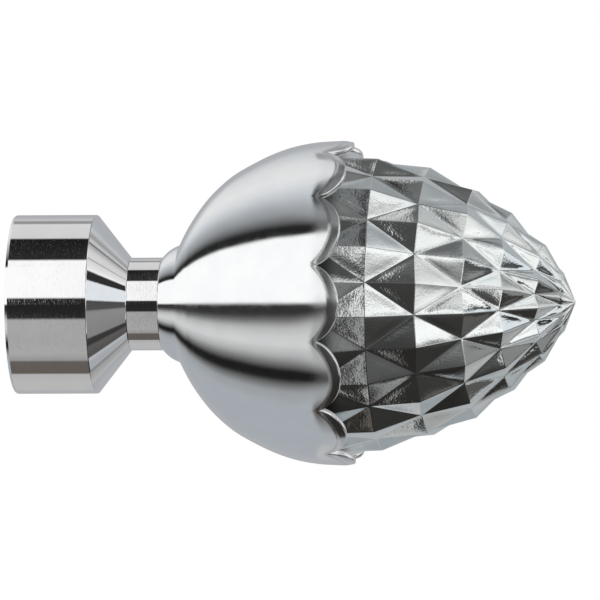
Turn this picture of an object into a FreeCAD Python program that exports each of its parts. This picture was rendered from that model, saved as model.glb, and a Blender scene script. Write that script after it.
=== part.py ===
import FreeCAD, Part
import math
import os

# Curtain pole finial: a turned cup and neck, a petalled calyx and a faceted cone, drawn together by a screw.
# Millimetres and degrees. +X runs along the axis from the mouth of the pole socket to the tip, and +Z is up
# when the pole is level. The origin is the centre of the socket's mouth. Angles about the axis start at -Y
# and turn towards +Z.

# Pole socket and cup
POLE_DIAMETER = 28.0
POLE_CLEARANCE = 0.15
CUP_WALL = 1.85
CUP_LENGTH = 14.7
SOCKET_SETBACK = 1.2
MOUTH_TAPER_LENGTH = 1.2
MOUTH_TAPER_DEPTH = 0.35
BORE_LEAD_IN = 0.3
EDGE_BREAK = 0.15

# Shoulder and neck of the cup
SHOULDER_LENGTH = 6.1
NECK_RADIUS = 8.3
NECK_LENGTH = 5.8

# Collar and hub at the root of the calyx
COLLAR_LENGTH = 3.1
COLLAR_RADIUS = 10.5
COLLAR_BULGE = 0.6
HUB_THICKNESS = 5.7
HUB_RADIUS = 9.0

# Bell of the calyx, from the collar to the tips of its petals
PETAL_COUNT = 13
BELL_LENGTH = 31.8
BELL_RADIUS = 29.2
ROOT_WALL = 2.2
RIM_WALL = 1.1
PETAL_DEPTH = 4.2
PETAL_FULLNESS = 0.96
PETAL_OVERCUT = 0.6
PETAL_EDGE_SPANS = 6
CUTTER_REACH = 6.0
GROOVE_DEPTH = 1.0
# Sections of the bell: how far along it each lies, how far it has opened there, and its share of the
# groove's depth.
BELL_SECTIONS = (
    (0.0, 0.0, 0.0),
    (0.047, 0.155, 0.0),
    (0.142, 0.395, 0.0),
    (0.274, 0.622, 0.0),
    (0.434, 0.79, 0.0),
    (0.623, 0.925, 0.0),
    (0.78, 0.982, 0.1),
    (0.89, 1.0, 0.45),
    (1.0, 0.965, 0.9),
    (1.06, 0.925, 1.2),
)

# Faceted cone, from the edge hidden by the petals to its tip
FACET_COLUMNS = 13
FACET_TURN = 8.4
FACET_RELIEF = 1.3
TIP_RELIEF = 0.3
CONE_LENGTH = 44.4
CONE_EDGE_SETBACK = 0.9
EDGE_GAP = 1.05
EDGE_FIT = 0.3
# Rings of hollows where four pyramids meet: share of the cone's length and of its radius at the edge.
FACET_RINGS = (
    (0.21, 0.94),
    (0.403, 0.859),
    (0.583, 0.729),
    (0.725, 0.561),
    (0.854, 0.361),
    (0.946, 0.19),
)
CONE_WALL = 2.6
SKIRT_LENGTH = 5.0
SKIRT_STEP = 0.4
SKIRT_TAPER = 0.3
BOSS_RADIUS = 6.0

# Fixing screw, M5 with a pan head and a cross recess
SCREW_RADIUS = 2.5
SCREW_LENGTH = 25.0
SCREW_POINT = 0.8
HEAD_RADIUS = 4.75
HEAD_HEIGHT = 3.2
HEAD_CROWN = 1.0
HEAD_FLAT_RADIUS = 3.2
HEAD_ROOM = 0.5
SCREW_CLEARANCE = 0.25
THREAD_CLEARANCE = 0.05
TAP_RUNOUT = 4.0
RECESS_SPAN = 4.6
RECESS_WIDTH = 1.1
RECESS_DEPTH = 2.0

# Grub screw, M3 with a hexagon socket
GRUB_RADIUS = 1.5
GRUB_KEY = 1.5
GRUB_KEY_SIDES = 6
GRUB_KEY_DEPTH = 1.0
GRUB_SET_BACK = 0.05

# Places and sizes that follow from the ones above
SOCKET_RADIUS = POLE_DIAMETER / 2 + POLE_CLEARANCE
SOCKET_DEPTH = CUP_LENGTH - SOCKET_SETBACK
CUP_RADIUS = SOCKET_RADIUS + CUP_WALL
SHOULDER_END = CUP_LENGTH + SHOULDER_LENGTH
NECK_END = SHOULDER_END + NECK_LENGTH
BELL_START = NECK_END + COLLAR_LENGTH
HUB_END = NECK_END + HUB_THICKNESS
PETAL_TIP = BELL_START + BELL_LENGTH
NOTCH = PETAL_TIP - PETAL_DEPTH
PETAL_PITCH = 360 / PETAL_COUNT
FACET_PITCH = 360 / FACET_COLUMNS
CONE_EDGE = NOTCH - CONE_EDGE_SETBACK
CONE_TIP = CONE_EDGE + CONE_LENGTH
HEAD_SEAT = SOCKET_DEPTH + HEAD_HEIGHT + HEAD_ROOM
HEAD_TOP = HEAD_SEAT - HEAD_HEIGHT
SCREW_END = HEAD_SEAT + SCREW_LENGTH
SCREW_HOLE_RADIUS = SCREW_RADIUS + SCREW_CLEARANCE
TAPPED_RADIUS = SCREW_RADIUS + THREAD_CLEARANCE
GRUB_PLACE = SOCKET_DEPTH / 2
ORIGIN = FreeCAD.Vector(0, 0, 0)
AXIS = FreeCAD.Vector(1, 0, 0)
WALL_SIDE = FreeCAD.Vector(0, 1, 0)


def profile_point(x, r):
    """A point of a turned profile: distance along the axis and radius."""
    return FreeCAD.Vector(x, 0, r)


def point_around(x, r, angle):
    """A point at distance x and radius r, at an angle about the axis."""
    turn = math.radians(angle)
    return FreeCAD.Vector(x, -r * math.cos(turn), r * math.sin(turn))


def lines(points):
    """Straight edges through profile points given as (x, r)."""
    corners = [profile_point(x, r) for x, r in points]
    return [Part.makeLine(a, b) for a, b in zip(corners, corners[1:])]


def turned(edges):
    """The solid turned from a closed profile of edges."""
    return Part.Face(Part.Wire(edges)).revolve(ORIGIN, AXIS, 360)


def rod(start, end, radius):
    """A round bar on the axis."""
    return Part.makeCylinder(radius, end - start, profile_point(start, 0), AXIS)


def solid_of(shape):
    """The one solid that a shape holds, with its split faces joined."""
    (solid,) = shape.removeSplitter().Solids
    return solid


def socket_cup():
    """Turned cup, shoulder and neck, with the pole's bore, the head's pocket and holes for both screws."""
    pocket_radius = HEAD_RADIUS + HEAD_ROOM
    outline = [
        (0, SOCKET_RADIUS + BORE_LEAD_IN),
        (0, CUP_RADIUS - MOUTH_TAPER_DEPTH),
        (MOUTH_TAPER_LENGTH, CUP_RADIUS),
        (CUP_LENGTH - EDGE_BREAK, CUP_RADIUS),
        (CUP_LENGTH + EDGE_BREAK, CUP_RADIUS - EDGE_BREAK),
        (SHOULDER_END, NECK_RADIUS),
        (NECK_END - EDGE_BREAK, NECK_RADIUS),
        (NECK_END, NECK_RADIUS - EDGE_BREAK),
        (NECK_END, SCREW_HOLE_RADIUS),
        (HEAD_SEAT, SCREW_HOLE_RADIUS),
        (HEAD_SEAT, pocket_radius),
        (SOCKET_DEPTH, pocket_radius),
        (SOCKET_DEPTH, SOCKET_RADIUS),
        (BORE_LEAD_IN, SOCKET_RADIUS),
    ]
    body = turned(lines(outline + outline[:1]))
    grub_hole = Part.makeCylinder(
        GRUB_RADIUS + THREAD_CLEARANCE, CUP_RADIUS, FreeCAD.Vector(GRUB_PLACE, 0, 0), WALL_SIDE
    )
    return solid_of(body.cut(grub_hole))


def bell_place(share):
    """Distance along the finial of a section of the bell."""
    return BELL_START + share * BELL_LENGTH


def bell_crown(opening):
    """Radius of the petals' crowns where the bell has opened so far."""
    return COLLAR_RADIUS + opening * (BELL_RADIUS - COLLAR_RADIUS)


def bell_outline():
    """Curve along the petals' crowns."""
    curve = Part.BSplineCurve()
    curve.interpolate([profile_point(bell_place(s), bell_crown(opening)) for s, opening, _ in BELL_SECTIONS])
    return curve


def bell_inner_wall():
    """Corners (x, r) of the bell's inner wall, set in from the crowns by a wall that thins to the rim."""
    outside = bell_outline()
    corners = []
    for share, opening, _ in BELL_SECTIONS:
        crown = profile_point(bell_place(share), bell_crown(opening))
        (along,) = outside.tangent(outside.parameter(crown))
        wall = ROOT_WALL + min(share, 1) * (RIM_WALL - ROOT_WALL)
        corners.append((crown.x + wall * along.z, crown.z - wall * along.x))
    return corners


def bell_inner_radius(x):
    """Radius of the bell's inner wall at distance x."""
    corners = bell_inner_wall()
    for (x_before, r_before), (x_after, r_after) in zip(corners, corners[1:]):
        if x <= x_after:
            return r_before + (x - x_before) / (x_after - x_before) * (r_after - r_before)
    return corners[-1][1]


def bell_section(share, opening, groove):
    """Closed outline of the bell across the axis: one arc to a petal, with grooves between them."""
    x = bell_place(share)
    crown = bell_crown(opening)
    valley = crown - groove * GROOVE_DEPTH
    arcs = []
    for petal in range(PETAL_COUNT):
        middle = petal * PETAL_PITCH
        arcs.append(Part.Arc(
            point_around(x, valley, middle - PETAL_PITCH / 2),
            point_around(x, crown, middle),
            point_around(x, valley, middle + PETAL_PITCH / 2),
        ).toShape())
    return Part.Wire(arcs)


def petal_edge(side):
    """Elliptical edge from the notch that faces -Y to the middle of the petal on one side of it."""
    half_width = (BELL_RADIUS + PETAL_OVERCUT) * math.sin(math.radians(PETAL_PITCH / 2))
    notch_drop = 1 - math.sqrt(1 - PETAL_FULLNESS**2)
    reach = PETAL_DEPTH / notch_drop
    points = []
    for step in range(PETAL_EDGE_SPANS + 1):
        across = step / PETAL_EDGE_SPANS
        drop = reach * (1 - math.sqrt(1 - (PETAL_FULLNESS * (1 - across)) ** 2))
        points.append(FreeCAD.Vector(PETAL_TIP - drop, 0, side * across * half_width))
    edge = Part.BSplineCurve()
    edge.interpolate(points)
    return edge.toShape(), points[-1]


def notch_cutter():
    """Bar that cuts away all beyond the two petal edges at the notch that faces -Y."""
    lower, lower_tip = petal_edge(-1)
    upper, upper_tip = petal_edge(1)
    beyond = FreeCAD.Vector(CUTTER_REACH, 0, 0)
    outline = [
        lower,
        upper,
        Part.makeLine(upper_tip, upper_tip + beyond),
        Part.makeLine(upper_tip + beyond, lower_tip + beyond),
        Part.makeLine(lower_tip + beyond, lower_tip),
    ]
    return Part.Face(Part.Wire(outline)).extrude(WALL_SIDE * -(BELL_RADIUS + CUTTER_REACH))


def collar_arc():
    """Rounded outside of the collar, an arc that stands out from the straight line between its ends."""
    start = profile_point(NECK_END, NECK_RADIUS)
    end = profile_point(BELL_START, COLLAR_RADIUS)
    along = (end - start).normalize()
    middle = (start + end) * 0.5 + FreeCAD.Vector(-along.z, 0, along.x) * COLLAR_BULGE
    return Part.Arc(start, middle, end).toShape()


def calyx():
    """Cast calyx: rounded collar, thin petalled bell and a hub with the screw's hole."""
    collar_sides = lines([
        (BELL_START, COLLAR_RADIUS), (BELL_START, 0), (NECK_END, 0), (NECK_END, NECK_RADIUS)
    ])
    collar = turned([collar_arc()] + collar_sides)
    inner_wall = bell_inner_wall()
    hollow_outline = [(inner_wall[0][0], 0)] + inner_wall + [(inner_wall[-1][0], 0)]
    hollow = turned(lines(hollow_outline + hollow_outline[:1]))
    bell = Part.makeLoft([bell_section(*section) for section in BELL_SECTIONS], True, False).cut(hollow)
    cutter = notch_cutter()
    for petal in range(PETAL_COUNT):
        bell = bell.cut(cutter.rotated(ORIGIN, AXIS, -(petal + 0.5) * PETAL_PITCH))
    body = bell.fuse([collar, rod(BELL_START, HUB_END, HUB_RADIUS)])
    return solid_of(body.cut(rod(NECK_END, HUB_END, SCREW_HOLE_RADIUS)))


def cone_rings():
    """Rings of hollows from the hidden edge to the last before the tip, as (x, r)."""
    edge_radius = bell_inner_radius(CONE_EDGE) - EDGE_GAP
    rings = [(CONE_EDGE, edge_radius)]
    for along, share in FACET_RINGS:
        rings.append((CONE_EDGE + along * CONE_LENGTH, share * edge_radius))
    return rings


def cone_normals(rings):
    """Outward direction (x, r) of the cone's outline at each ring after the edge."""
    outline = rings + [(CONE_TIP, 0)]
    normals = []
    for before, after in zip(outline, outline[2:]):
        run = after[0] - before[0]
        rise = after[1] - before[1]
        length = math.hypot(run, rise)
        normals.append((-rise / length, run / length))
    return normals


def ring_points(x, r, turn):
    """The points of one ring, a facet pitch apart."""
    return [point_around(x, r, turn + column * FACET_PITCH) for column in range(FACET_COLUMNS)]


def facet(*corners):
    """A flat face with three or more corners."""
    return Part.Face(Part.makePolygon(list(corners) + [corners[0]]))


def pyramid_cone():
    """Solid of four-sided pyramids in staggered rings, closed by a flat face at the hidden edge."""
    rings = cone_rings()
    half = FACET_PITCH / 2
    hollows = [ring_points(x, r, FACET_TURN + (ring - 1) * half) for ring, (x, r) in enumerate(rings)]
    peaks = [ring_points(CONE_EDGE, bell_inner_radius(CONE_EDGE) - EDGE_FIT, FACET_TURN)]
    for ring, normal in enumerate(cone_normals(rings), 1):
        x, r = rings[ring]
        relief = TIP_RELIEF if ring == len(rings) - 1 else FACET_RELIEF
        peaks.append(ring_points(x + relief * normal[0], r + relief * normal[1], FACET_TURN + ring * half))
    tip = [profile_point(CONE_TIP, 0)] * FACET_COLUMNS
    hollows.append(tip)

    faces = []
    edge = []
    for ring, ring_peaks in enumerate(peaks):
        for column, peak in enumerate(ring_peaks):
            # A peak lies between two hollows of its own ring, in line with one of each ring beside it.
            lower = hollows[ring][column]
            upper = hollows[ring][(column + 1) % FACET_COLUMNS]
            ahead = hollows[ring + 1][column]
            faces += [facet(peak, lower, ahead), facet(peak, ahead, upper)]
            if ring:
                behind = hollows[ring - 1][(column + 1) % FACET_COLUMNS]
                faces += [facet(peak, behind, lower), facet(peak, upper, behind)]
            else:
                edge += [lower, peak]
    faces.append(facet(*edge))
    return Part.Solid(Part.Shell(faces))


def faceted_cone():
    """Cast cone: pyramids outside, a plain skirt inside the calyx, and a hollow with a tapped boss."""
    rings = cone_rings()
    skirt_start = CONE_EDGE - SKIRT_LENGTH
    skirt_radius = rings[0][1] - SKIRT_STEP
    skirt = turned(lines([
        (CONE_EDGE, 0),
        (skirt_start, 0),
        (skirt_start, skirt_radius - SKIRT_TAPER),
        (CONE_EDGE, skirt_radius),
        (CONE_EDGE, 0),
    ]))
    hollow_outline = [(skirt_start, BOSS_RADIUS), (skirt_start, skirt_radius - SKIRT_TAPER - CONE_WALL)]
    for (x, r), (normal_x, normal_r) in zip(rings[1:-1], cone_normals(rings)):
        hollow_outline.append((x - CONE_WALL * normal_x, r - CONE_WALL * normal_r))
    hollow_outline.append((hollow_outline[-1][0], BOSS_RADIUS))
    hollow = turned(lines(hollow_outline + hollow_outline[:1]))
    boss = rod(HUB_END, hollow_outline[-1][0], BOSS_RADIUS)
    tapped_hole = rod(HUB_END, SCREW_END + TAP_RUNOUT, TAPPED_RADIUS)
    body = pyramid_cone().fuse(skirt).cut(hollow).fuse(boss)
    return solid_of(body.cut(tapped_hole))


def recess_wing():
    """One tapering wing of the cross recess, lying in the plane of X and Z."""
    outline = Part.makePolygon([
        profile_point(HEAD_TOP, -RECESS_SPAN / 2),
        profile_point(HEAD_TOP, RECESS_SPAN / 2),
        profile_point(HEAD_TOP + RECESS_DEPTH, RECESS_WIDTH),
        profile_point(HEAD_TOP + RECESS_DEPTH, -RECESS_WIDTH),
        profile_point(HEAD_TOP, -RECESS_SPAN / 2),
    ])
    wing = Part.Face(outline).extrude(FreeCAD.Vector(0, RECESS_WIDTH, 0))
    return wing.translated(FreeCAD.Vector(0, -RECESS_WIDTH / 2, 0))


def fixing_screw():
    """Pan head screw that draws cup, calyx and cone together."""
    outline = [
        (HEAD_TOP, 0),
        (HEAD_TOP, HEAD_FLAT_RADIUS),
        (HEAD_TOP + HEAD_CROWN, HEAD_RADIUS),
        (HEAD_SEAT, HEAD_RADIUS),
        (HEAD_SEAT, SCREW_RADIUS),
        (SCREW_END - SCREW_POINT, SCREW_RADIUS),
        (SCREW_END, SCREW_RADIUS - SCREW_POINT),
        (SCREW_END, 0),
    ]
    body = turned(lines(outline + outline[:1]))
    wing = recess_wing()
    return solid_of(body.cut([wing, wing.rotated(ORIGIN, AXIS, 90)]))


def grub_screw():
    """Set screw in the cup's wall, flush with the bore until it is tightened on the pole."""
    inner_end = SOCKET_RADIUS + GRUB_SET_BACK
    outer_end = math.sqrt(CUP_RADIUS**2 - GRUB_RADIUS**2) - GRUB_SET_BACK
    body = Part.makeCylinder(
        GRUB_RADIUS, outer_end - inner_end, FreeCAD.Vector(GRUB_PLACE, inner_end, 0), WALL_SIDE
    )
    corner_radius = GRUB_KEY / 2 / math.cos(math.pi / GRUB_KEY_SIDES)
    corners = []
    for corner in range(GRUB_KEY_SIDES):
        turn = 2 * math.pi * corner / GRUB_KEY_SIDES
        corners.append(FreeCAD.Vector(
            GRUB_PLACE + corner_radius * math.cos(turn), outer_end, corner_radius * math.sin(turn)
        ))
    key_hole = Part.Face(Part.makePolygon(corners + corners[:1])).extrude(WALL_SIDE * -GRUB_KEY_DEPTH)
    return solid_of(body.cut(key_hole))


def main():
    """Build every piece and write each to its own file."""
    os.makedirs("parts", exist_ok=True)
    for build in (socket_cup, calyx, faceted_cone, fixing_screw, grub_screw):
        shape = build()
        if not shape.isValid():
            raise ValueError(f"{build.__name__} is not a valid solid")
        shape.exportStep(f"parts/{build.__name__}.step")
        print(f"{build.__name__}: {shape.Volume:.0f} cubic mm, {len(shape.Faces)} faces")


main()
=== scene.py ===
import bisect
import logging
import math
from collections.abc import Sequence
from dataclasses import dataclass, replace
from enum import Enum

import bpy
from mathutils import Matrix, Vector


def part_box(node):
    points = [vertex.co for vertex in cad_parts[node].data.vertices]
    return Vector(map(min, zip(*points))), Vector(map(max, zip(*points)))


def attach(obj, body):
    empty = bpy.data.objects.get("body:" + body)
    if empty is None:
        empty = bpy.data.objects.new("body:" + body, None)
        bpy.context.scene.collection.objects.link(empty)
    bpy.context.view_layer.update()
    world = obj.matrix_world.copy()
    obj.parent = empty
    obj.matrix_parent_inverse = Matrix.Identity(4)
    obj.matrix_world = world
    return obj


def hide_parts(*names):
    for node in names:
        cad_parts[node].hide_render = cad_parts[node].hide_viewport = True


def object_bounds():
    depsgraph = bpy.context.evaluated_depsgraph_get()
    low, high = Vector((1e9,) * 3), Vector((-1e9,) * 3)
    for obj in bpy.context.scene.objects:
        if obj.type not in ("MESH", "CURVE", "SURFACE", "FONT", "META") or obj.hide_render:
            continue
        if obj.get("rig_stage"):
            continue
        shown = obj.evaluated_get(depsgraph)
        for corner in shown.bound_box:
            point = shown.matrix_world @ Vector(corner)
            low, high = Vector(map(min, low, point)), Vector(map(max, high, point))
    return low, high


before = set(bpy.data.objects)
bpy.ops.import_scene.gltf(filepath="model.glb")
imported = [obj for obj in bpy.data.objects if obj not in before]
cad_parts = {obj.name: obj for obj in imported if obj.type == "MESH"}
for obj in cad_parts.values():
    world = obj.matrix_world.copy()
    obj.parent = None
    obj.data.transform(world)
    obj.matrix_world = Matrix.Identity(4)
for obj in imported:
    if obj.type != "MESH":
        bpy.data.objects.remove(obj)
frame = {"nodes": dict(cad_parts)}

MM = 0.001
MERGE = 0.002 * MM
NOISE_LOW, NOISE_HIGH = 0.3, 0.7
GAMMA = 2.2
log = logging.getLogger("finial")

Outline = list[tuple[float, float]]


class Socket:
    """A shader socket that Python's operators turn into Math nodes."""

    def __init__(self, graph: "Graph", socket: bpy.types.NodeSocket) -> None:
        """Keep the socket with the graph that it belongs to."""
        self.graph = graph
        self.socket = socket

    def _math(self, operation: str, *values: "Socket | float") -> "Socket":
        """Add one Math node.

        Args:
            operation: The Math node's operation.
            values: Its inputs in order.

        Returns:
            The node's output.
        """
        return self.graph.node("ShaderNodeMath", {"operation": operation}, dict(enumerate(values)))

    def __add__(self, other: "Socket | float") -> "Socket":
        """Add a value."""
        return self._math("ADD", self, other)

    __radd__ = __add__

    def __rsub__(self, other: float) -> "Socket":
        """Take this away from a number."""
        return self._math("SUBTRACT", other, self)

    def __mul__(self, other: "Socket | float") -> "Socket":
        """Multiply by a value."""
        return self._math("MULTIPLY", self, other)

    def __truediv__(self, other: "Socket | float") -> "Socket":
        """Divide by a value."""
        return self._math("DIVIDE", self, other)

    def root(self) -> "Socket":
        """Take the square root."""
        return self._math("SQRT", self)

    def below(self, limit: float) -> "Socket":
        """1 where this is below a limit, and 0 past it."""
        return self._math("LESS_THAN", self, limit)

    def angle_to(self, across: "Socket") -> "Socket":
        """Angle in radians whose sine goes with this value and whose cosine goes with the other."""
        return self._math("ARCTAN2", self, across)


class Graph:
    """The nodes of one material or world."""

    def __init__(self, tree: bpy.types.NodeTree) -> None:
        """Empty a node tree and keep it."""
        self.tree = tree
        self.tree.nodes.clear()

    def node(self, kind: str, settings: dict | None = None, inputs: dict | None = None,
             output: str | int = 0) -> Socket:
        """Add a node of any kind.

        Args:
            kind: The node's type.
            settings: Its own settings; "stops" fills a colour ramp with (place, colour) pairs.
            inputs: Values or links of its sockets, by name or number.
            output: The output to hand back, by name or number.

        Returns:
            That output.
        """
        made = self.tree.nodes.new(kind)
        for name, value in (settings or {}).items():
            if name == "stops":
                self._fill_ramp(made.color_ramp, value)
            else:
                setattr(made, name, value)
        for key, value in (inputs or {}).items():
            if isinstance(value, Socket):
                self.tree.links.new(value.socket, made.inputs[key])
            else:
                made.inputs[key].default_value = value
        return Socket(self, made.outputs[output] if made.outputs else None)

    @staticmethod
    def _fill_ramp(ramp: bpy.types.ColorRamp, stops: Sequence[tuple[float, tuple[float, ...]]]) -> None:
        """Give a colour ramp its stops.

        Args:
            ramp: The ramp, as a new node has it.
            stops: Places and colours, in rising order.
        """
        while len(ramp.elements) > 1:
            ramp.elements.remove(ramp.elements[-1])
        ramp.elements[0].position = stops[0][0]
        ramp.elements[0].color = (*stops[0][1], 1)
        for place, colour in stops[1:]:
            ramp.elements.new(place).color = (*colour, 1)

    def object_coordinates(self) -> Socket:
        """The place of each point in the object's own frame, in metres."""
        return self.node("ShaderNodeTexCoord", output="Object")

    def stretched(self, coordinates: Socket, scale: tuple[float, float, float]) -> Socket:
        """Coordinates scaled on each axis."""
        return self.node("ShaderNodeMapping", inputs={"Vector": coordinates, "Scale": scale})

    def noise(self, coordinates: Socket, scale: float, detail: float = 2.0) -> Socket:
        """Noise from 0 to 1 whose features are about 1 / scale metres across."""
        return self.node("ShaderNodeTexNoise",
                         inputs={"Vector": coordinates, "Scale": scale, "Detail": detail})

    def spread(self, value: Socket, low: float, high: float) -> Socket:
        """Noise from NOISE_LOW to NOISE_HIGH laid over another range, and held inside it."""
        return self.node("ShaderNodeMapRange",
                         inputs={0: value, 1: NOISE_LOW, 2: NOISE_HIGH, 3: low, 4: high})

    def axes(self, vector: Socket) -> list[Socket]:
        """The three numbers of a vector."""
        return [self.node("ShaderNodeSeparateXYZ", inputs={0: vector}, output=axis) for axis in "XYZ"]

    def step(self, value: Socket, low: float, high: float) -> Socket:
        """A smooth step from 0 to 1 as a value goes from low to high."""
        return self.node("ShaderNodeMapRange", {"interpolation_type": "SMOOTHSTEP"},
                         {0: value, 1: low, 2: high})

    def mixed(self, share: Socket, first: Socket | tuple[float, ...],
              second: Socket | tuple[float, ...]) -> Socket:
        """A colour between two others, each a link or four numbers."""
        return self.node("ShaderNodeMix", {"data_type": "RGBA"},
                         {0: share, 6: first, 7: second}, output=2)


@dataclass(frozen=True)
class Metal:
    """A polished or plated metal.

    Lengths are metres. The colour varies in patches, and the roughness in patches that are smaller by
    fineness. grain is a fine cast texture, waves are slow dents in the polish, and marks are the short
    streaks that turning and buffing leave around the X axis. The roughness grows by dulls_by from
    dulls_from to dulls_to along that axis, and painted shade darkens the colour from shade_from back to
    shade_to, for the shade that a part overhanging the surface would cast. From shaded_hollow_start,
    fading in over shaded_hollow_fade, to shaded_hollow_depth on the axis, and nearer to it than
    shaded_hollow_radius, the metal is rougher, and painted shade darkens it, more so deeper in.
    """

    name: str
    light: tuple[float, float, float]
    dark: tuple[float, float, float]
    roughness: tuple[float, float]
    patch: float = 4 * MM
    fineness: float = 3.0
    grain: float = 0.0
    grain_size: float = 0.2 * MM
    waves: float = 0.0
    wave_size: float = 3 * MM
    marks: float = 0.0
    mark_size: float = 0.12 * MM
    mark_length: float = 0.9 * MM
    dulls_from: float = 0.0
    dulls_to: float = 0.0
    dulls_by: float = 0.0
    # Where painted shade darkens the colour, towards the back of the piece under a part that overhangs
    # it.
    shade_from: float = 0.0
    shade_to: float = 0.0
    shade_blur: float = 0.6 * MM
    # A rougher hollow, whose colour painted shade darkens more towards its floor.
    shaded_hollow_start: float = 0.0
    shaded_hollow_depth: float = 0.0
    shaded_hollow_radius: float = 0.0
    shaded_hollow_fade: float = 0.2 * MM
    painted_shade: float = 0.5
    cast_roughness: float = 0.42
    cast_grain: float = 0.1

    def material(self) -> bpy.types.Material:
        """Build the finish.

        Returns:
            The material.
        """
        material = bpy.data.materials.new(self.name)
        material.use_nodes = True
        graph = Graph(material.node_tree)
        place = graph.object_coordinates()
        cloud = graph.noise(place, 1 / self.patch, detail=4.0)
        colour = graph.mixed(graph.spread(cloud, 0.0, 1.0), (*self.dark, 1), (*self.light, 1))
        fine_cloud = graph.noise(place, self.fineness / self.patch, detail=5.0)
        roughness = graph.spread(fine_cloud, *self.roughness)
        along, out, up = graph.axes(place)
        if self.dulls_by:
            roughness = roughness + graph.step(along, self.dulls_from, self.dulls_to) * self.dulls_by
        # A darker copy of the metal's colour: painted shade for where other parts would shade it.
        shade_colour = tuple(self.painted_shade * part for part in self.dark)
        # Painted shade, fading in towards the back of the piece, under a part that overhangs it.
        if self.shade_from:
            unshaded = graph.step(along + cloud * self.shade_blur, self.shade_to, self.shade_from)
            colour = graph.mixed(unshaded, (*shade_colour, 1), colour)
        # A rougher hollow, whose colour is darkened by painted shade, more towards its floor.
        if self.shaded_hollow_depth:
            cast = along.below(self.shaded_hollow_depth) * (out * out + up * up).root().below(self.shaded_hollow_radius)
            if self.shaded_hollow_start:
                cast = cast * graph.step(along, self.shaded_hollow_start, self.shaded_hollow_start + self.shaded_hollow_fade)
            deeper_shade = tuple(self.painted_shade * part for part in shade_colour)
            inside = graph.mixed(graph.step(along, 0.0, self.shaded_hollow_depth), (*shade_colour, 1), (*deeper_shade, 1))
            colour = graph.mixed(cast, colour, inside)
            roughness = roughness + cast * (self.cast_roughness + fine_cloud * self.cast_grain)
        inputs = {"Base Color": colour, "Metallic": 1.0, "Roughness": roughness}
        height = self._height(graph, place)
        if height is not None:
            inputs["Normal"] = graph.node(
                "ShaderNodeBump", inputs={"Strength": 1.0, "Distance": 1.0, "Height": height})
        shader = graph.node("ShaderNodeBsdfPrincipled", inputs=inputs)
        graph.node("ShaderNodeOutputMaterial", inputs={"Surface": shader})
        return material

    def _height(self, graph: Graph, place: Socket) -> Socket | None:
        """Height of the fine relief.

        Args:
            graph: The material's nodes.
            place: The object coordinates.

        Returns:
            The height in metres, or None on a surface with none.
        """
        layers = []
        if self.grain:
            layers.append(graph.noise(place, 1 / self.grain_size, detail=3.0) * self.grain)
        if self.waves:
            layers.append(graph.noise(place, 1 / self.wave_size) * self.waves)
        if self.marks:
            around = 1 / self.mark_length
            streaks = graph.stretched(place, (1 / self.mark_size, around, around))
            layers.append(graph.noise(streaks, 1.0) * self.marks)
        return sum(layers[1:], layers[0]) if layers else None


# Painted shade darkens the cup's bore, more towards its floor, where the metal is also rougher.
MIRROR_CHROME = Metal("mirror_chrome", (0.985, 0.985, 0.99), (0.94, 0.94, 0.95), (0.015, 0.04),
                      waves=0.004 * MM, wave_size=6 * MM, marks=0.0022 * MM,
                      shaded_hollow_depth=13.6 * MM, shaded_hollow_radius=14.3 * MM)
SOFT_CHROME = Metal("soft_chrome", (0.975, 0.98, 0.985), (0.93, 0.94, 0.95), (0.06, 0.09),
                    waves=0.01 * MM, wave_size=8 * MM,
                    dulls_from=55.5 * MM, dulls_to=58.5 * MM, dulls_by=0.1)
# Painted shade darkens the cone towards its back, under the rims of the petals.
FACET_CHROME = Metal("facet_chrome", (0.975, 1.0, 0.99), (0.86, 0.9, 0.885), (0.015, 0.05),
                     grain=0.014 * MM, grain_size=0.36 * MM, waves=0.018 * MM, wave_size=2 * MM,
                     shade_from=61.4 * MM, shade_to=58.6 * MM, painted_shade=0.3)
# Painted shade darkens the fixing screw's driver recess, where the metal is also rougher.
ZINC_STEEL = Metal("zinc_steel", (0.7, 0.71, 0.73), (0.52, 0.53, 0.55), (0.22, 0.38),
                   grain=0.004 * MM, marks=0.001 * MM,
                   shaded_hollow_start=14.35 * MM, shaded_hollow_depth=16.5 * MM, shaded_hollow_radius=2.4 * MM, painted_shade=0.35)
DARK_STEEL = Metal("dark_steel", (0.22, 0.22, 0.23), (0.12, 0.12, 0.125), (0.3, 0.5), grain=0.004 * MM)


class Element(Enum):
    """The kind of mesh element that an edit selects."""

    EDGE = "EDGE"
    FACE = "FACE"


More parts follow.
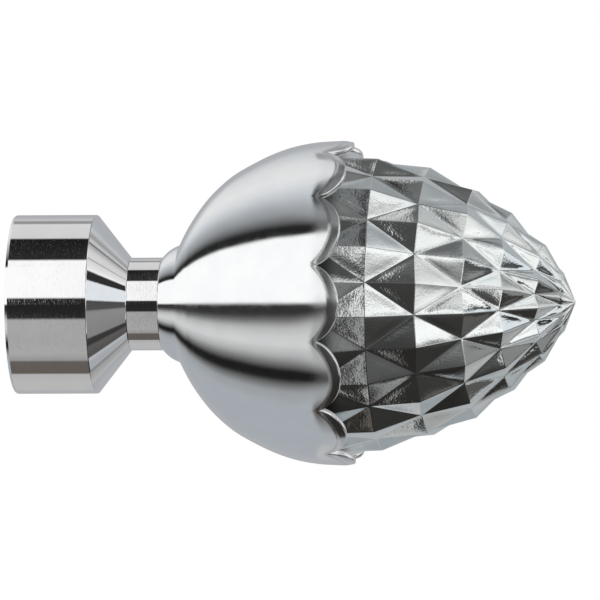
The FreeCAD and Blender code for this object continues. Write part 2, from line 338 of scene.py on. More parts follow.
class Bench:
    """The hand operations that the pieces are made with."""

    @staticmethod
    def pick(piece: bpy.types.Object) -> None:
        """Select one object alone and make it the active one.

        Args:
            piece: The object.
        """
        bpy.ops.object.select_all(action="DESELECT")
        piece.select_set(True)
        bpy.context.view_layer.objects.active = piece

    @staticmethod
    def name(piece: bpy.types.Object, name: str) -> bpy.types.Object:
        """Name an object and its mesh alike, and hand the object back."""
        piece.name = piece.data.name = name
        return piece

    @staticmethod
    def turn(name: str, columns: int, outline: Outline, hollow: bool = True) -> bpy.types.Object:
        """Turn an outline about the X axis, extruding one loop after another.

        Args:
            name: Name of the new piece.
            columns: Faces around the axis.
            outline: Places (x, r) of the loops, in metres, none of them on the axis.
            hollow: Whether the last loop joins the first. A solid bar has its ends filled instead.

        Returns:
            The piece, with its place in its mesh.
        """
        x, r = outline[0]
        bpy.ops.mesh.primitive_circle_add(vertices=columns, radius=r, fill_type="NOTHING",
                                          location=(x, 0, 0), rotation=(0, math.pi / 2, 0))
        bpy.ops.object.transform_apply()
        piece = Bench.name(bpy.context.active_object, name)
        bpy.ops.object.mode_set(mode="EDIT")
        bpy.ops.mesh.select_mode(type="VERT")
        bpy.ops.mesh.select_all(action="SELECT")
        for next_x, next_r in outline[1:] + outline[:1] * hollow:
            bpy.ops.mesh.extrude_region_move(TRANSFORM_OT_translate={"value": (next_x - x, 0, 0)})
            bpy.ops.transform.resize(value=(1, next_r / r, next_r / r), center_override=(next_x, 0, 0))
            x, r = next_x, next_r
        bpy.ops.mesh.select_all(action="SELECT")
        if hollow:
            bpy.ops.mesh.remove_doubles(threshold=MERGE)
        else:
            bpy.ops.mesh.fill_holes(sides=0)
        bpy.ops.mesh.select_all(action="SELECT")
        bpy.ops.mesh.normals_make_consistent(inside=False)
        bpy.ops.object.mode_set(mode="OBJECT")
        return piece

    @staticmethod
    def quarter_round(x: float, r: float, length: float, drop: float, rings: int) -> Outline:
        """Outline of an edge rounded by a quarter of an ellipse, from the face to the side.

        Args:
            x: Where the face is.
            r: Radius of the side.
            length: How far the rounding reaches along the side.
            drop: How far it reaches across the face.
            rings: Steps between the two.

        Returns:
            Places (x, r), the last of them on the side.
        """
        turns = [ring / rings * math.pi / 2 for ring in range(rings + 1)]
        return [(x + length * (1 - math.cos(turn)), r - drop * (1 - math.sin(turn))) for turn in turns]

    @staticmethod
    def move(piece: bpy.types.Object, turns: tuple[float, float, float], x: float = 0.0) -> None:
        """Turn a piece about the origin and carry it along the X axis.

        Args:
            piece: The piece, with its place in its mesh.
            turns: Angles about the three axes, in radians.
            x: How far it is carried.
        """
        Bench.pick(piece)
        piece.rotation_euler = turns
        piece.location = (x, 0, 0)
        bpy.ops.object.transform_apply()

    @staticmethod
    def apply(piece: bpy.types.Object, kind: str, **settings: object) -> None:
        """Add a modifier and apply it.

        Args:
            piece: The object.
            kind: The modifier's type.
            settings: The modifier's own settings.
        """
        Bench.pick(piece)
        modifier = piece.modifiers.new(kind.lower(), kind)
        for name, value in settings.items():
            setattr(modifier, name, value)
        bpy.ops.object.modifier_apply(modifier=modifier.name)

    @staticmethod
    def cut(piece: bpy.types.Object, tool: bpy.types.Object) -> None:
        """Cut one object out of another and throw the tool away."""
        Bench.apply(piece, "BOOLEAN", operation="DIFFERENCE", solver="EXACT", object=tool)
        bpy.data.objects.remove(tool)

    @staticmethod
    def open_with(piece: bpy.types.Object, kind: Element, numbers: Sequence[int]) -> None:
        """Open a piece for editing with only some of its edges or faces selected.

        Args:
            piece: The piece.
            kind: The kind of element to select.
            numbers: Indices of the elements.
        """
        Bench.pick(piece)
        bpy.ops.object.mode_set(mode="EDIT")
        bpy.ops.mesh.select_mode(type=kind.value)
        bpy.ops.mesh.select_all(action="DESELECT")
        bpy.ops.object.mode_set(mode="OBJECT")
        parts = piece.data.edges if kind is Element.EDGE else piece.data.polygons
        for number in numbers:
            parts[number].select = True
        bpy.ops.object.mode_set(mode="EDIT")

    @staticmethod
    def bevel_edges(piece: bpy.types.Object, edges: Sequence[int], width: float, segments: int) -> None:
        """Round chosen edges of a piece.

        Args:
            piece: The piece.
            edges: Indices of the edges.
            width: How far the rounding reaches on each side of an edge.
            segments: Faces across the rounding.
        """
        Bench.open_with(piece, Element.EDGE, edges)
        bpy.ops.mesh.bevel(offset_type="OFFSET", offset=width, segments=segments, profile=0.5,
                           affect="EDGES", clamp_overlap=False)
        bpy.ops.object.mode_set(mode="OBJECT")

    @staticmethod
    def finish(piece: bpy.types.Object, smooth_to: float, finish: Metal, node: str) -> None:
        """Smooth a piece, weigh its normals by area, dress it and put it in its node's place.

        Each piece mirrors the room alone, with no picture of its neighbours.

        Args:
            piece: The finished mesh.
            smooth_to: Sharpest angle in degrees that is still shaded smooth.
            finish: The metal it is made of.
            node: The CAD node that it replaces.
        """
        Bench.pick(piece)
        bpy.ops.object.shade_smooth_by_angle(angle=math.radians(smooth_to))
        Bench.apply(piece, "WEIGHTED_NORMAL", keep_sharp=True)
        piece.data.materials.clear()
        piece.data.materials.append(finish.material())
        piece.visible_glossy = False
        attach(piece, "root")
        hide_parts(node)


@dataclass(frozen=True)
class Frame:
    """Places that every piece shares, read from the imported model."""

    cup_radius: float
    neck_end: float
    petal_tip: float
    bell_radius: float
    cone_tip: float

    @classmethod
    def read(cls) -> "Frame":
        """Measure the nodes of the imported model.

        Returns:
            The places.
        """
        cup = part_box("socket_cup")[1]
        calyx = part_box("calyx")[1]
        return cls(cup.z, cup.x, calyx.x, calyx.z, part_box("faceted_cone")[1].x)


@dataclass
class SocketCup:
    """The turned cup that slips over the pole, with its shoulder and neck."""

    frame: Frame
    bore_radius: float = 14.15 * MM
    bore_depth: float = 13.5 * MM
    lead_in: float = 0.3 * MM
    mouth_length: float = 0.5 * MM
    mouth_drop: float = 0.35 * MM
    mouth_rings: int = 8
    cup_length: float = 14.7 * MM
    shoulder_length: float = 6.1 * MM
    neck_radius: float = 8.3 * MM
    pocket_radius: float = 5.25 * MM
    pocket_floor: float = 17.2 * MM
    hole_radius: float = 2.75 * MM
    grub_hole_radius: float = 1.55 * MM
    grub_hole_flare: float = 0.25 * MM
    grub_hole_columns: int = 64
    edge_round: float = 0.14 * MM
    edge_segments: int = 3
    edge_angle: float = 25.0
    smooth_to: float = 32.0
    columns: int = 256

    def build(self) -> bpy.types.Object:
        """Model the cup.

        Returns:
            The cup, dressed in mirror chrome.
        """
        outer = self.frame.cup_radius
        shoulder_end = self.cup_length + self.shoulder_length
        piece = Bench.turn("polished_cup", self.columns, [
            (0.0, self.bore_radius + self.lead_in),
            *Bench.quarter_round(0.0, outer, self.mouth_length, self.mouth_drop, self.mouth_rings),
            (self.cup_length, outer),
            (shoulder_end, self.neck_radius),
            (self.frame.neck_end, self.neck_radius),
            (self.frame.neck_end, self.hole_radius),
            (self.pocket_floor, self.hole_radius),
            (self.pocket_floor, self.pocket_radius),
            (self.bore_depth, self.pocket_radius),
            (self.bore_depth, self.bore_radius),
            (self.lead_in, self.bore_radius),
        ])
        Bench.apply(piece, "BEVEL", width=self.edge_round, segments=self.edge_segments,
                    limit_method="ANGLE", angle_limit=math.radians(self.edge_angle))
        Bench.cut(piece, self._grub_drill())
        Bench.finish(piece, self.smooth_to, MIRROR_CHROME, "socket_cup")
        return piece

    def _grub_drill(self) -> bpy.types.Object:
        """The drill for the grub screw's hole, flared where it leaves the wall.

        Returns:
            The drill, in its place.
        """
        outer = self.frame.cup_radius
        drill = Bench.turn("grub_drill", self.grub_hole_columns, [
            (self.bore_radius / 2, self.grub_hole_radius),
            (outer - self.grub_hole_flare, self.grub_hole_radius),
            (outer + self.grub_hole_flare, self.grub_hole_radius + 2 * self.grub_hole_flare),
        ], hollow=False)
        Bench.move(drill, (0, 0, math.pi / 2), self.bore_depth / 2)
        return drill


class SmoothCurve:
    """A smooth curve through points given by rising x."""

    def __init__(self, points: Sequence[tuple[float, float]]) -> None:
        """Keep the points and work out the slope at each.

        Args:
            points: At least three points (x, y).
        """
        self.xs = [x for x, _ in points]
        self.ys = [y for _, y in points]
        chords = [(y1 - y0) / (x1 - x0) for (x0, y0), (x1, y1) in zip(points, points[1:])]
        steps = [x1 - x0 for x0, x1 in zip(self.xs, self.xs[1:])]
        inner = [
            (before * wide + after * near) / (near + wide)
            for before, after, near, wide in zip(chords, chords[1:], steps, steps[1:])
        ]
        first = 1.5 * chords[0] - 0.5 * inner[0]
        last = 1.5 * chords[-1] - 0.5 * inner[-1]
        self.slopes = [first, *inner, last]

    def at(self, x: float) -> float:
        """Height of the curve at a place.

        Args:
            x: The place. Past either end, the last span goes on.

        Returns:
            The height.
        """
        i = min(max(bisect.bisect_right(self.xs, x) - 1, 0), len(self.xs) - 2)
        step = self.xs[i + 1] - self.xs[i]
        t = (x - self.xs[i]) / step
        return (
            (1 + 2 * t) * (1 - t) ** 2 * self.ys[i]
            + t * (1 - t) ** 2 * step * self.slopes[i]
            + t * t * (3 - 2 * t) * self.ys[i + 1]
            - t * t * (1 - t) * step * self.slopes[i + 1]
        )

    def slope(self, x: float) -> float:
        """Slope of the curve at x."""
        reach = 0.01 * MM
        return (self.at(x + reach) - self.at(x - reach)) / (2 * reach)


@dataclass
class Calyx:
    """The cast bell of petals between the neck and the cone."""

    frame: Frame
    petals: int = 13
    columns_to_a_petal: int = 32
    neck_radius: float = 8.3 * MM
    collar_length: float = 3.1 * MM
    collar_radius: float = 10.5 * MM
    collar_bulge: float = 0.3 * MM
    collar_rings: int = 12
    hub_radius: float = 9.0 * MM
    hub_thickness: float = 5.7 * MM
    hole_radius: float = 2.75 * MM
    root_wall: float = 2.2 * MM
    rim_wall: float = 1.1 * MM
    petal_depth: float = 4.2 * MM
    petal_fullness: float = 0.96
    plain_root: float = 3.0 * MM
    scallop_start: float = 12.0 * MM
    notch_spread: float = 0.35
    ring_step: float = 0.8 * MM
    rim_ring_step: float = 0.2 * MM
    rim_rings: int = 18
    inner_ring_step: float = 1.6 * MM
    inner_rim_rings: int = 5
    rim_fall: float = 0.29
    rim_turn: float = 1.0 * MM
    rim_width: float = 2.1 * MM
    groove_depth: float = 0.6 * MM
    rim_round: float = 0.33 * MM
    rim_segments: int = 3
    smooth_to: float = 40.0
    opening: tuple[tuple[float, float], ...] = (
        (0.0, 0.0), (0.047, 0.155), (0.142, 0.395), (0.274, 0.622), (0.434, 0.79), (0.623, 0.925),
        (0.78, 0.98), (0.89, 0.994), (1.0, 1.003), (1.06, 1.007),
    )
    groove: tuple[tuple[float, float], ...] = (
        (0.0, 0.0), (0.623, 0.0), (0.78, 0.06), (0.89, 0.3), (1.0, 0.7), (1.06, 1.0),
    )

    def __post_init__(self) -> None:
        """Work out the places that the bell's shape hangs on."""
        self.bell_start = self.frame.neck_end + self.collar_length
        self.bell_length = self.frame.petal_tip - self.bell_start
        rise = self.frame.bell_radius - self.collar_radius
        self.crown = SmoothCurve([
            (self.bell_start + share * self.bell_length, self.collar_radius + opened * rise)
            for share, opened in self.opening
        ])
        self.valley = SmoothCurve([
            (self.bell_start + share * self.bell_length, depth * self.groove_depth)
            for share, depth in self.groove
        ])
        self.half_pitch = math.pi / self.petals

    def build(self) -> bpy.types.Object:
        """Model the calyx.

        Returns:
            The calyx, dressed in soft chrome.
        """
        piece = Bench.turn("petal_calyx", self.petals * self.columns_to_a_petal, self._outline())
        rims = self._rim_edges(piece)
        for vertex in piece.data.vertices:
            if vertex.co.x > self.bell_start + self.plain_root:
                vertex.co = self._shaped(vertex.co.x, math.hypot(vertex.co.y, vertex.co.z),
                                         math.atan2(vertex.co.z, -vertex.co.y))
        Bench.bevel_edges(piece, rims, self.rim_round, self.rim_segments)
        Bench.finish(piece, self.smooth_to, SOFT_CHROME, "calyx")
        return piece

    def _outline(self) -> Outline:
        """Outline of the calyx before its rim is scalloped.

        Returns:
            Places (x, r) all the way round the wall.
        """
        neck_end = self.frame.neck_end
        hub_end = neck_end + self.hub_thickness
        outer = self._bell_stations(self.ring_step, self.rim_rings)
        inner_stations = self._bell_stations(self.inner_ring_step, self.inner_rim_rings)
        inner = [
            place for place in map(self._inner_place, inner_stations)
            if place[1] > self.hub_radius + self.rim_wall and place[0] > hub_end
        ]
        inner[-1] = (self.frame.petal_tip, inner[-1][1])
        return [
            (neck_end, self.hole_radius),
            *self._collar(),
            *[(x, self.crown.at(x)) for x in outer],
            *reversed(inner),
            (hub_end - self.rim_wall, self.hub_radius + self.rim_wall / 2),
            (hub_end - self.rim_wall, self.hub_radius),
            (hub_end, self.hub_radius),
            (hub_end, self.hole_radius),
        ]

    def _collar(self) -> Outline:
        """Rounded outline of the collar, from the neck to the root of the bell.

        Returns:
            Places (x, r), the last of them short of the bell's first ring.
        """
        start = (self.frame.neck_end, self.neck_radius)
        run = self.collar_length
        rise = self.collar_radius - self.neck_radius
        chord = math.hypot(run, rise)
        radius = (chord * chord / 4 + self.collar_bulge**2) / (2 * self.collar_bulge)
        half_turn = math.asin(chord / 2 / radius)
        places = []
        for ring in range(self.collar_rings):
            turn = half_turn * (2 * ring / self.collar_rings - 1)
            along = chord / 2 + radius * math.sin(turn)
            out = radius * (math.cos(turn) - math.cos(half_turn))
            places.append((start[0] + (along * run - out * rise) / chord,
                           start[1] + (along * rise + out * run) / chord))
        return places

    def _bell_stations(self, step: float, rim_rings: int) -> list[float]:
        """Distances of the bell's rings, evenly spaced and then closer together at the rim.

        Args:
            step: About how far apart the even rings are.
            rim_rings: How many of the closer rings come before the rim.

        Returns:
            The distances, the last of them at the petals' tips.
        """
        rim_start = self.frame.petal_tip - rim_rings * self.rim_ring_step
        count = max(1, round((rim_start - self.bell_start) / step))
        even = [self.bell_start + ring * (rim_start - self.bell_start) / count for ring in range(count)]
        return even + [rim_start + ring * self.rim_ring_step for ring in range(rim_rings + 1)]

    def _inner_place(self, x: float) -> tuple[float, float]:
        """The point of the inner wall across from a point of the outer one.

        Args:
            x: Where the outer point is.

        Returns:
            Place (x, r) of the inner one.
        """
        share = (x - self.bell_start) / self.bell_length
        wall = self.root_wall + share * (self.rim_wall - self.root_wall)
        slope = self.crown.slope(x)
        length = math.hypot(1, slope)
        return x + wall * slope / length, self.crown.at(x) - wall / length

    def _rim_edges(self, piece: bpy.types.Object) -> list[int]:
        """Edges of both corners of the rim, while it is still round.

        Args:
            piece: The turned calyx.

        Returns:
            Indices of the edges.
        """
        tip = self.frame.petal_tip
        near = 0.01 * MM
        at_rim = [abs(vertex.co.x - tip) < near for vertex in piece.data.vertices]
        radius = [math.hypot(vertex.co.y, vertex.co.z) for vertex in piece.data.vertices]
        found = []
        for edge in piece.data.edges:
            first, second = edge.vertices
            if at_rim[first] and at_rim[second] and abs(radius[first] - radius[second]) < near:
                found.append(edge.index)
        return found

    def _rim_at(self, across: float) -> tuple[float, float]:
        """The petal's edge at a share of the way from its middle to the notch.

        Args:
            across: From -1 at one notch over 0 at the petal's middle to 1 at the other notch.

        Returns:
            Distance of the edge along the axis, and the cosine of its slant there.
        """
        notch_drop = 1 - math.sqrt(1 - self.petal_fullness**2)
        reach = self.petal_depth / notch_drop
        full = self.petal_fullness * across
        rise = math.sqrt(1 - full * full)
        slant = reach * self.petal_fullness * full / rise / (self.half_pitch * self.frame.bell_radius)
        return self.frame.petal_tip - reach * (1 - rise), 1 / math.hypot(1, slant)

    def _shaped(self, x: float, r: float, angle: float) -> tuple[float, float, float]:
        """Move one point of the round bell to its place on the petalled one.

        Args:
            x: Its distance along the axis.
            r: Its radius.
            angle: Its angle about the axis from the middle of the petal that faces the front.

        Returns:
            Its new place.
        """
        petal = round(angle / (2 * self.half_pitch))
        even = angle / self.half_pitch - 2 * petal
        spread = 1 + self.notch_spread * (1 - even * even)
        across = max(-1.0, min(1.0, even * spread))
        turned = (across + 2 * petal) * self.half_pitch
        rim, slant = self._rim_at(across)
        start = self.bell_start + self.scallop_start
        place = x if x < start else start + (x - start) * (rim - start) / (self.frame.petal_tip - start)
        inside = max(0.0, (rim - place) * slant)
        proud = math.sqrt(max(0.0, 1 - (self.frame.petal_tip - rim) / self.petal_depth))
        past_turn = max(0.0, self.rim_width * proud - inside)
        fall = self.rim_fall * (math.hypot(past_turn, self.rim_turn) - self.rim_turn)
        dip = self.valley.at(place) * (1 - math.cos(math.pi * across)) / 2 + fall
        new_r = r + self.crown.at(place) - self.crown.at(x) - dip
        return place, -new_r * math.cos(turned), new_r * math.sin(turned)


@dataclass
class FacetedCone:
    """The cast cone of staggered pyramids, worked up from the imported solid."""

    frame: Frame
    hidden_edge: float = 56.4 * MM
    edge_clear: float = 1.0 * MM
    tip_clear: float = 2.2 * MM
    flat_to: float = 0.6
    rough_width: float = 0.9
    rough_power: float = 0.75
    inside_share: float = 0.8
    edge_round: float = 0.13 * MM
    edge_segments: int = 2
    cushion: float = 0.06 * MM
    cushion_cuts: int = 5
    smallest_facet: float = 1.2 * MM * MM
    smooth_to: float = 20.0

    def build(self) -> bpy.types.Object:
        """Model the cone.

        Returns:
            The cone, dressed in grainy chrome.
        """
        piece = self._merged_copy()
        Bench.bevel_edges(piece, self._facet_edges(piece), self.edge_round, self.edge_segments)
        self._crown_facets(piece)
        Bench.finish(piece, self.smooth_to, FACET_CHROME, "faceted_cone")
        return piece

    def _merged_copy(self) -> bpy.types.Object:
        """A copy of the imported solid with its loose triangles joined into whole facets.

        Returns:
            The copy, under its own name.
        """
        solid = frame["nodes"]["faceted_cone"]
        piece = solid.copy()
        piece.data = solid.data.copy()
        piece.parent = None
        for key in [key for key in piece.keys() if key.startswith("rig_")]:
            del piece[key]
        bpy.context.scene.collection.objects.link(piece)
        Bench.name(piece, "faceted_tip")
        Bench.pick(piece)
        if piece.data.has_custom_normals:
            bpy.ops.mesh.customdata_custom_splitnormals_clear()
        bpy.ops.object.mode_set(mode="EDIT")
        bpy.ops.mesh.select_all(action="SELECT")
        bpy.ops.mesh.remove_doubles(threshold=MERGE)
        bpy.ops.mesh.dissolve_limited(angle_limit=math.radians(self.flat_to))
        bpy.ops.object.mode_set(mode="OBJECT")
        return piece

    def _on_outside(self, place: Vector) -> bool:
        """Whether a place is on the faceted outside, going by its distance from the axis.

        Args:
            place: A point of the solid.

        Returns:
            True outside, and False on the hidden back and in the core.
        """
        share = (self.frame.cone_tip - place.x) / (self.frame.cone_tip - self.hidden_edge)
        rough_radius = self.frame.bell_radius * self.rough_width * min(1.0, share) ** self.rough_power
        far_out = math.hypot(place.y, place.z) > self.inside_share * rough_radius
        return far_out and place.x > self.hidden_edge - self.edge_clear

    def _facet_edges(self, piece: bpy.types.Object) -> list[int]:
        """Ridges and valleys between the facets, short of the crowded point at the tip.

        Args:
            piece: The merged copy.

        Returns:
            Indices of the edges.
        """
        corners = piece.data.vertices
        first = self.hidden_edge - self.edge_clear
        last = self.frame.cone_tip - self.tip_clear
        found = []
        for edge in piece.data.edges:
            ends = [corners[index].co for index in edge.vertices]
            clear = all(first < end.x < last for end in ends)
            if clear and self._on_outside((ends[0] + ends[1]) / 2):
                found.append(edge.index)
        return found

    def _crown_facets(self, piece: bpy.types.Object) -> None:
        """Divide each facet and raise it into the slight cushion that polishing leaves.

        Args:
            piece: The cone with its edges rounded.
        """
        facets = []
        chosen = []
        mark = piece.data.attributes.new("facet", "INT", "FACE")
        for face in piece.data.polygons:
            is_large = len(face.vertices) == 3 and face.area > self.smallest_facet
            is_facet = is_large and self._on_outside(face.center)
            if is_facet:
                facets.append(([piece.data.vertices[index].co.copy() for index in face.vertices],
                               face.normal.copy()))
                chosen.append(face.index)
            mark.data[face.index].value = len(facets) if is_facet else 0
        Bench.open_with(piece, Element.FACE, chosen)
        bpy.ops.mesh.subdivide(number_cuts=self.cushion_cuts)
        bpy.ops.object.mode_set(mode="OBJECT")
        mark = piece.data.attributes["facet"]
        raised = {}
        for face in piece.data.polygons:
            number = mark.data[face.index].value
            if number:
                for index in face.vertices:
                    raised[index] = number
        for index, number in raised.items():
            corners, normal = facets[number - 1]
            place = piece.data.vertices[index].co
            place += normal * self.cushion * self._crown(place, corners)
        piece.data.attributes.remove(mark)

    @staticmethod
    def _crown(place: Vector, corners: list[Vector]) -> float:
        """Height of a cushion, 1 at the middle of a facet and 0 along its edges.

        Args:
            place: A point of the facet.
            corners: The facet's three corners.

        Returns:
            The height.
        """
        whole = (corners[1] - corners[0]).cross(corners[2] - corners[0]).length
        height = 27.0  # The three shares are 1/3 each at the middle.
        for first, second in ((0, 1), (1, 2), (2, 0)):
            height *= (corners[first] - place).cross(corners[second] - place).length / whole
        return height


@dataclass
class FixingScrew:
    """The pan head screw that draws the pieces together."""

    head_top: float = 14.0 * MM
    head_radius: float = 4.75 * MM
    head_height: float = 3.2 * MM
    crown: float = 1.3 * MM
    crown_drop: float = 2.6125 * MM
    crown_rings: int = 8
    shank_radius: float = 2.5 * MM
    length: float = 25.0 * MM
    point: float = 0.8 * MM
    pitch: float = 0.8 * MM
    thread_depth: float = 0.42 * MM
    rings_to_a_pitch: int = 6
    recess_span: float = 4.6 * MM
    recess_width: float = 1.1 * MM
    recess_depth: float = 2.0 * MM
    smooth_to: float = 30.0
    columns: int = 64

    def build(self) -> bpy.types.Object:
        """Model the screw.

        Returns:
            The screw, dressed in zinc plated steel.
        """
        seat = self.head_top + self.head_height
        end = seat + self.length
        thread_end = end - self.point
        rings = round((thread_end - seat) / self.pitch) * self.rings_to_a_pitch
        step = (thread_end - seat) / rings
        piece = Bench.turn("fixing_screw_body", self.columns, [
            *Bench.quarter_round(self.head_top, self.head_radius, self.crown, self.crown_drop,
                                 self.crown_rings),
            (seat, self.head_radius),
            *[(seat + ring * step, self.shank_radius) for ring in range(rings + 1)],
            (end, self.shank_radius - self.point),
        ], hollow=False)
        for vertex in piece.data.vertices:
            x, y, z = vertex.co
            if seat + step / 2 < x < thread_end - step / 2:
                vertex.co = self._threaded(x, math.atan2(z, y), seat, thread_end)
        for quarter in range(2):
            Bench.cut(piece, self._recess_tool(quarter * math.pi / 2))
        Bench.finish(piece, self.smooth_to, ZINC_STEEL, "fixing_screw")
        return piece

    def _threaded(self, x: float, angle: float, start: float, end: float) -> tuple[float, float, float]:
        """Sink one point of the plain shank into the thread.

        Args:
            x: Its distance along the axis.
            angle: Its angle about the axis.
            start: Where the thread starts.
            end: Where the thread ends.

        Returns:
            Its new place.
        """
        turn = (x / self.pitch - angle / (2 * math.pi)) % 1
        fade = min(1.0, (x - start) / self.pitch, (end - x) / self.pitch)
        radius = self.shank_radius - self.thread_depth * fade * (1 - abs(2 * turn - 1))
        return x, radius * math.cos(angle), radius * math.sin(angle)

    def _recess_tool(self, turn: float) -> bpy.types.Object:
        """One tapering wing of the driver that the recess fits.

        Args:
            turn: How far it is turned about the axis, in radians.

        Returns:
            The wing, in its place.
        """
        bpy.ops.mesh.primitive_cube_add(size=1, location=(self.head_top, 0, 0))
        tool = Bench.name(bpy.context.active_object, "driver_wing")
        tool.dimensions = (2 * self.recess_depth, self.recess_width, self.recess_span)
        bpy.ops.object.transform_apply()
        for vertex in tool.data.vertices:
            if vertex.co.x > self.head_top:
                vertex.co.z *= 2 * self.recess_width / self.recess_span
        Bench.move(tool, (turn, 0, 0))
        return tool


@dataclass
class GrubScrew:
    """The set screw that holds the cup on its pole."""

    place: float = 6.75 * MM
    radius: float = 1.5 * MM
    inner_end: float = 14.2 * MM
    outer_end: float = 15.88 * MM
    edge: float = 0.15 * MM
    key: float = 1.5 * MM
    key_depth: float = 1.0 * MM
    smooth_to: float = 30.0
    columns: int = 48

    def build(self) -> bpy.types.Object:
        """Model the grub screw.

        Returns:
            The screw, dressed in dark steel.
        """
        piece = Bench.turn("grub_screw_body", self.columns, [
            (self.inner_end, self.radius - 2 * self.edge),
            (self.inner_end + 2 * self.edge, self.radius),
            (self.outer_end - self.edge, self.radius),
            (self.outer_end, self.radius - self.edge),
        ], hollow=False)
        bpy.ops.mesh.primitive_cylinder_add(vertices=6, radius=self.key / math.sqrt(3),
                                            depth=2 * self.key_depth, location=(self.outer_end, 0, 0),
                                            rotation=(0, math.pi / 2, 0))
        bpy.ops.object.transform_apply()
        Bench.cut(piece, bpy.context.active_object)
        Bench.move(piece, (0, 0, math.pi / 2), self.place)
        Bench.finish(piece, self.smooth_to, DARK_STEEL, "grub_screw")
        return piece


@dataclass(frozen=True)
class Wall:
    """One side of the room as the chrome mirrors it.

    starts and fills are the X of the directions where it begins to show and where it alone shows. Each
    stop of its strips is an angle above the front, a grey, and how much warmer than grey it is.
    """

    starts: float
    fills: float
    stops: tuple[tuple[float, float, float], ...]

    def ramp(self) -> list[tuple[float, tuple[float, float, float]]]:
        """Stops of the wall's colour ramp, from straight down at 0 to straight up at 1.

        Returns:
            Places and colours, in rising order.
        """
        return [
            (angle / 180 + 0.5,
             tuple(min(1.0, grey * tone) ** GAMMA for tone in (1 + warm, 1.0, 1 - warm)))
            for angle, grey, warm in self.stops
        ]


LEFT_WALL = Wall(-1.0, -1.0, (
    (-90, 0.67, -0.03), (-40, 0.67, -0.03), (-34, 0.62, -0.02), (-30.5, 0.4, 0),
    (-28.5, 0.14, 0), (-25, 0.13, 0), (-22, 0.48, 0), (-19, 0.7, 0), (-15, 0.82, 0),
    (-12, 0.8, 0), (-9, 0.72, 0), (-6, 0.42, 0), (-4, 0.22, 0), (-0.5, 0.16, 0), (0.6, 1, 0),
    (24, 1, 0), (25.2, 0.15, 0), (28.5, 0.14, 0), (31, 0.42, -0.01), (34, 0.58, -0.02),
    (38, 0.68, -0.02), (42, 0.78, -0.02), (47, 0.87, -0.01), (52, 0.9, 0), (60, 0.87, 0),
    (70, 0.77, -0.02), (84, 0.7, -0.03), (90, 0.68, -0.03),
))
FRONT_WALL = Wall(-0.172, -0.15, (
    (-90, 0.72, 0), (-60, 0.72, 0), (-51, 0.7, 0), (-50, 0.36, 0.06), (-39.5, 0.37, 0.05),
    (-38.5, 0.58, 0), (-33, 0.66, 0), (-10, 0.65, 0), (-8.8, 0.17, 0), (3.5, 0.14, 0),
    (4.5, 1, 0), (29, 1, 0), (30, 0.17, 0), (46.5, 0.12, 0), (47.5, 0.82, 0), (63, 0.84, 0),
    (64, 0.58, 0), (67.5, 0.58, 0), (68.5, 0.76, 0), (90, 0.72, 0),
))
DARK_WALL = Wall(-0.125, -0.09, (
    (-90, 0.63, -0.03), (-57, 0.62, -0.03), (-55, 0.17, 0.03), (-36, 0.17, 0.03),
    (-12, 0.23, 0.02), (0, 0.26, 0), (4, 0.46, 0), (9, 0.4, 0), (14, 0.28, 0), (27, 0.32, 0),
    (31, 0.5, -0.01), (42, 0.47, -0.01), (45, 0.4, 0), (51, 0.48, 0), (56, 0.38, 0),
    (61, 0.34, 0), (64.5, 0.6, -0.02), (90, 0.67, -0.03),
))
# The front wall's strips once more, for a camera square to the finial, and the dark wall's beyond them.
SQUARE_WALL = replace(FRONT_WALL, starts=-0.042, fills=-0.03)
SIDE_WALL = replace(DARK_WALL, starts=0.003, fills=0.022)
BRIGHT_WALL = Wall(0.26, 0.37, (
    (-90, 0.64, -0.03), (-63, 0.66, -0.03), (-61, 0.7, 0), (-50, 0.6, 0), (-48, 0.2, 0.02),
    (-26, 0.22, 0.02), (-12, 0.36, 0), (-9, 0.5, 0), (-3, 0.45, 0), (0, 0.55, 0), (3, 0.78, 0),
    (5.5, 1, 0), (8.6, 1, 0), (9.4, 0.45, 0), (10.2, 1, 0), (14, 0.98, 0), (14.8, 0.4, 0),
    (15.6, 0.92, 0), (18, 0.84, 0), (20, 0.3, 0), (24.5, 0.3, 0), (26.5, 0.76, 0),
    (29.4, 0.92, 0), (30.2, 0.45, 0), (31, 0.96, 0), (36, 0.92, -0.01), (42, 0.64, -0.02),
    (51, 0.6, -0.01), (56, 0.76, 0), (61, 0.7, -0.03), (90, 0.68, -0.03),
))
HIGH_WALL = Wall(0.64, 0.69, (
    (-90, 0.67, -0.03), (-41, 0.66, -0.02), (-37.5, 0.74, -0.02), (-36.5, 0.32, 0.02),
    (-29, 0.36, 0.02), (-27, 0.22, 0.02), (-20, 0.26, 0.02), (-18, 1, 0), (-13, 0.9, 0),
    (-9, 0.6, 0), (-3, 0.55, 0), (0, 1, 0), (7, 1, 0), (7.8, 0.5, 0), (8.6, 1, 0),
    (16, 0.96, 0), (18, 0.55, 0), (20, 1, 0), (22.5, 1, 0), (25, 0.9, 0), (30.5, 0.84, 0),
    (31.2, 0.5, 0), (32, 0.84, 0), (37, 0.82, 0), (42.5, 0.64, 0), (43.7, 0.3, 0),
    (45, 0.76, -0.01), (90, 0.7, -0.02),
))
END_WALL = Wall(0.914, 0.926, (
    (-90, 0.72, 0), (-28, 0.66, 0), (-26.5, 0.33, 0.03), (-25.5, 0.5, 0), (-6, 0.54, 0),
    (-4.5, 0.5, 0), (-3.6, 0.32, 0), (2.3, 0.3, 0), (3, 0.9, -0.02), (15.4, 0.9, -0.02),
    (16.2, 0.2, 0), (25.4, 0.2, 0), (26.2, 0.78, 0), (90, 0.74, 0),
))


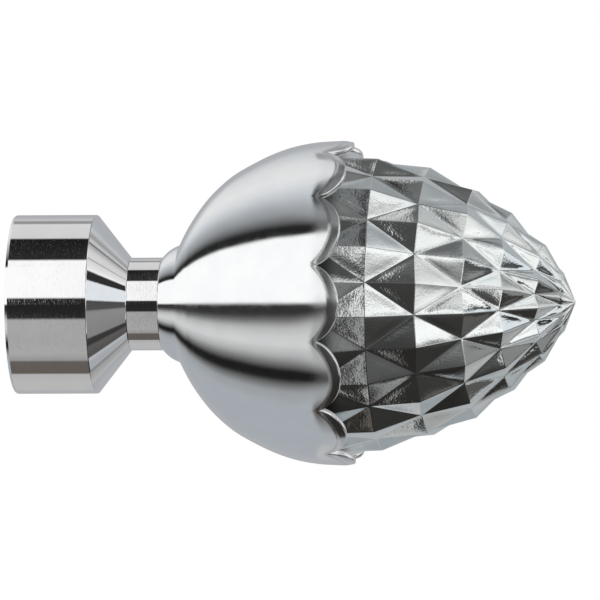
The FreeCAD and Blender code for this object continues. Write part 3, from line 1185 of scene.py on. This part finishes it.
@dataclass
class Studio:
    """The white room: walls of light and dark strips about the finial, a pale floor and the camera."""

    walls: tuple[Wall, ...] = (LEFT_WALL, FRONT_WALL, DARK_WALL, SQUARE_WALL, SIDE_WALL, BRIGHT_WALL,
                               HIGH_WALL, END_WALL)
    backdrop: tuple[float, float, float] = (0.42, 0.43, 0.45)
    backdrop_starts: float = 0.76
    backdrop_fills: float = 0.92
    camera_turn: float = 7.0
    camera_roll: float = 0.25
    distance: float = 3.0
    field: float = 107.3 * MM
    aim: tuple[float, float, float] = (51.2 * MM, 0.0, 0.6 * MM)
    sensor: float = 36.0
    clip_start: float = 0.01
    floor_drop: float = 0.12
    floor_side: float = 1.6
    floor_grey: float = 0.86
    floor_roughness: float = 0.8
    lamp_size: float = 0.8
    lamp_power: float = 6.0
    lamp_forward: float = 0.2
    lamp_height: float = 0.9
    lamp_tilt: float = 12.0

    def build(self) -> None:
        """Set up the walls, the floor, the lamp and the camera."""
        self._world()
        self._floor()
        self._lamp()
        self._camera()

    def _world(self) -> None:
        """Light and dark strips that run along the finial, and plain white behind it."""
        world = bpy.data.worlds.new("studio")
        world.use_nodes = True
        bpy.context.scene.world = world
        graph = Graph(world.node_tree)
        direction = graph.node("ShaderNodeTexCoord", output="Generated")
        across, towards, upward = graph.axes(direction)
        share = upward.angle_to(1 - towards) / math.pi + 0.5
        colour = None
        for wall in self.walls:
            ramp = graph.node("ShaderNodeValToRGB", {"stops": wall.ramp()}, {0: share})
            colour = ramp if colour is None else graph.mixed(
                graph.step(across, wall.starts, wall.fills), colour, ramp)
        colour = graph.mixed(graph.step(towards, self.backdrop_starts, self.backdrop_fills), colour,
                             (*self.backdrop, 1))
        strips = graph.node("ShaderNodeBackground", inputs={"Color": colour, "Strength": 1.0})
        plain = graph.node("ShaderNodeBackground", inputs={"Color": (1, 1, 1, 1), "Strength": 1.0})
        seen = graph.node("ShaderNodeLightPath", output="Is Camera Ray")
        both = graph.node("ShaderNodeMixShader", inputs={0: seen, 1: strips, 2: plain})
        graph.node("ShaderNodeOutputWorld", inputs={"Surface": both})

    def _floor(self) -> None:
        """A plain pale floor under the finial."""
        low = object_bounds()[0][2]
        bpy.ops.mesh.primitive_plane_add(size=self.floor_side,
                                         location=(self.aim[0], 0, low - self.floor_drop))
        bpy.ops.object.transform_apply()
        floor = Bench.name(bpy.context.active_object, "floor")
        material = bpy.data.materials.new("pale_floor")
        material.use_nodes = True
        graph = Graph(material.node_tree)
        grey = (self.floor_grey, self.floor_grey, self.floor_grey, 1)
        shader = graph.node("ShaderNodeBsdfPrincipled",
                            inputs={"Base Color": grey, "Roughness": self.floor_roughness})
        graph.node("ShaderNodeOutputMaterial", inputs={"Surface": shader})
        floor.data.materials.append(material)
        floor.visible_glossy = False
        floor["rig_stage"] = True

    def _lamp(self) -> None:
        """A large soft lamp over the finial, which lights the floor."""
        lamp = bpy.data.lights.new("soft_lamp", "AREA")
        lamp.shape = "DISK"
        lamp.size = self.lamp_size
        lamp.energy = self.lamp_power
        holder = bpy.data.objects.new("soft_lamp", lamp)
        holder.location = (self.aim[0], -self.lamp_forward, self.lamp_height)
        holder.rotation_euler = (-math.radians(self.lamp_tilt), 0, 0)
        holder.visible_glossy = False
        bpy.context.scene.collection.objects.link(holder)

    def _camera(self) -> None:
        """The camera, level with the finial and a little to the side of its tip."""
        data = bpy.data.cameras.new("camera")
        data.sensor_width = self.sensor
        data.lens = self.sensor * self.distance / self.field
        data.clip_start = self.clip_start
        holder = bpy.data.objects.new("camera", data)
        turn = math.radians(self.camera_turn)
        x, y, z = self.aim
        holder.location = (x + self.distance * math.sin(turn), y - self.distance * math.cos(turn), z)
        holder.rotation_euler = (math.pi / 2, math.radians(self.camera_roll), turn)
        bpy.context.scene.collection.objects.link(holder)
        bpy.context.scene.camera = holder
        bpy.context.scene.view_settings.view_transform = "Standard"


def main() -> None:
    """Build every piece and the studio."""
    logging.basicConfig(level=logging.INFO, format="%(name)s %(message)s")
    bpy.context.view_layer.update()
    shared = Frame.read()
    for maker in (SocketCup(shared), Calyx(shared), FacetedCone(shared), FixingScrew(), GrubScrew()):
        piece = maker.build()
        log.info("%s: %d faces", piece.name, len(piece.data.polygons))
    Studio().build()


if __name__ == "__main__":
    main()
